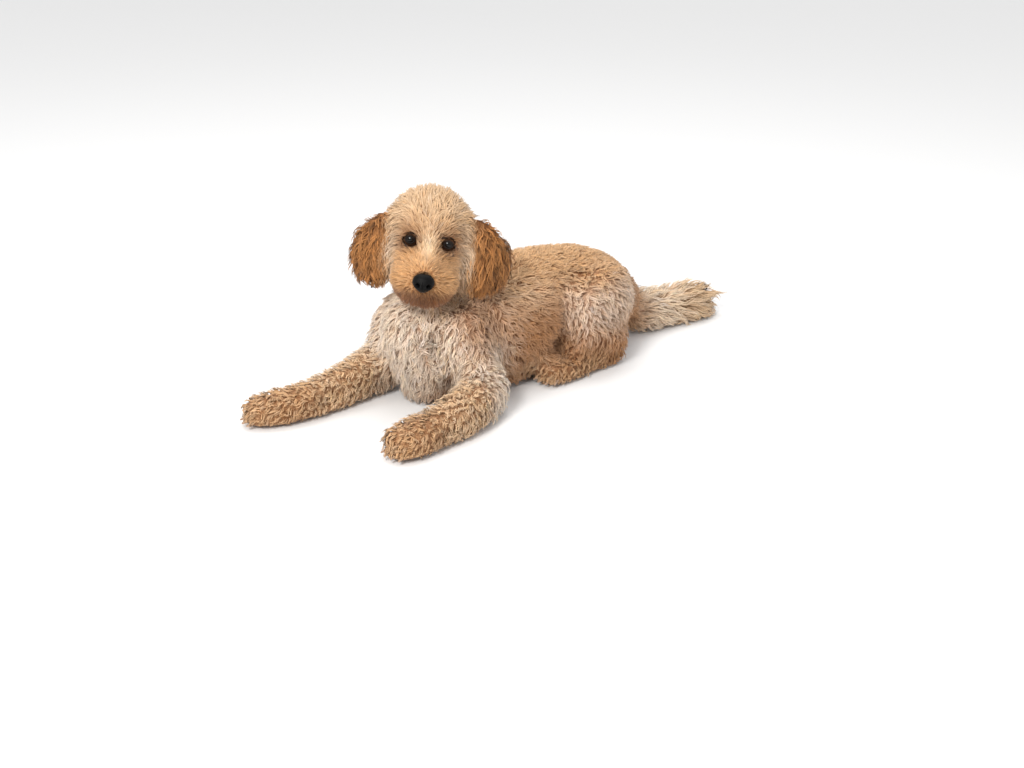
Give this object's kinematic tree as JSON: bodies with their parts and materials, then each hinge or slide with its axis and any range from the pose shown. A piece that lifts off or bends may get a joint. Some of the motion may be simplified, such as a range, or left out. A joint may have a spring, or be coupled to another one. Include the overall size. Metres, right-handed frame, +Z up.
{
  "type": "miniature goldendoodle lying down",
  "caption": "Small curly-coated apricot dog with long drop ears, lying on its chest with its head up and turned to its left, front legs stretched forward and tail laid straight behind.",
  "frame": {"origin": "on the floor, under the middle of the whole dog's bounding box", "axes": "+Z up from the floor; -Y the way the body points, chest first; +X the dog's left side"},
  "size_m": [0.26, 0.7746, 0.2789],
  "materials": {
    "cream_coat": "curly coat, matt",
    "apricot_coat": "curly coat, matt",
    "fawn_coat": "curly coat, matt",
    "caramel_coat": "wavy coat, matt",
    "nose_leather": "damp, fine-pored",
    "eye": "wet gloss",
    "claw": "smooth horn"
  },
  "bodies": {
    "root": {"rump": "apricot_coat", "lower_jaw": "fawn_coat", "muzzle": "apricot_coat", "head": "cream_coat", "neck": "cream_coat", "forepaw_left": "apricot_coat", "forearm_left": "apricot_coat", "upper_arm_left": "apricot_coat", "forepaw_right": "apricot_coat", "forearm_right": "apricot_coat", "upper_arm_right": "apricot_coat", "hind_paw_left": "apricot_coat", "shank_left": "apricot_coat", "thigh_left": "apricot_coat", "hind_paw_right": "apricot_coat", "shank_right": "apricot_coat", "thigh_right": "apricot_coat", "tail_tip": "apricot_coat", "tail_base": "cream_coat", "chest": "cream_coat", "loin": "fawn_coat", "ear_left": "caramel_coat", "ear_right": "caramel_coat", "eye_left": "eye", "eye_right": "eye", "nose": "nose_leather", "claw_forepaw_left_1": "claw", "claw_forepaw_left_2": "claw", "claw_forepaw_left_3": "claw", "claw_forepaw_left_4": "claw", "claw_forepaw_right_1": "claw", "claw_forepaw_right_2": "claw", "claw_forepaw_right_3": "claw", "claw_forepaw_right_4": "claw", "claw_hind_paw_left_1": "claw", "claw_hind_paw_left_2": "claw", "claw_hind_paw_left_3": "claw", "claw_hind_paw_left_4": "claw", "claw_hind_paw_right_1": "claw", "claw_hind_paw_right_2": "claw", "claw_hind_paw_right_3": "claw", "claw_hind_paw_right_4": "claw"}
  },
  "joints": []
}
